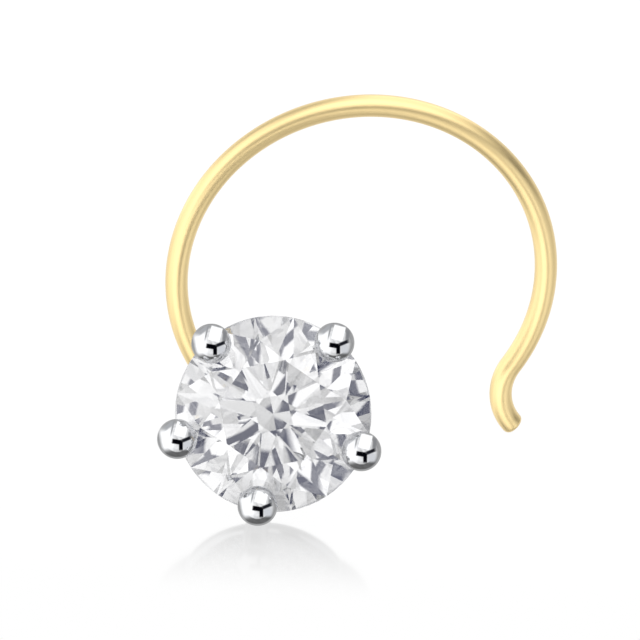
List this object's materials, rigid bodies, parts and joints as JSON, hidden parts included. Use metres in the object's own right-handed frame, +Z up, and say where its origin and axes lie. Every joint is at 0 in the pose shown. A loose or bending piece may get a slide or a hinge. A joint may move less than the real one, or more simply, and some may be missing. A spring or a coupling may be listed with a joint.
{
  "type": "nose pin",
  "caption": "Nose pin with a round brilliant stone in a ball-tipped prong head, on a bent wire with a straight post, an open C loop and a flicked tip.",
  "frame": {"origin": "centre of the bounding box in X and Y, on the surface that the pin stands on", "axes": "+Z up from the surface, -Y towards the viewer of the stone's table, +X to that viewer's right, where the wire's tip is"},
  "size_m": [0.009, 0.01, 0.0085],
  "materials": {
    "diamond": "polished flat facets, colourless, with a finely faceted girdle",
    "white_gold": "rhodium plated and mirror polished",
    "yellow_gold": "polished pale yellow gold wire"
  },
  "bodies": {
    "root": {"stone": "diamond", "setting": "white_gold", "hook_wire": "yellow_gold"}
  },
  "joints": []
}
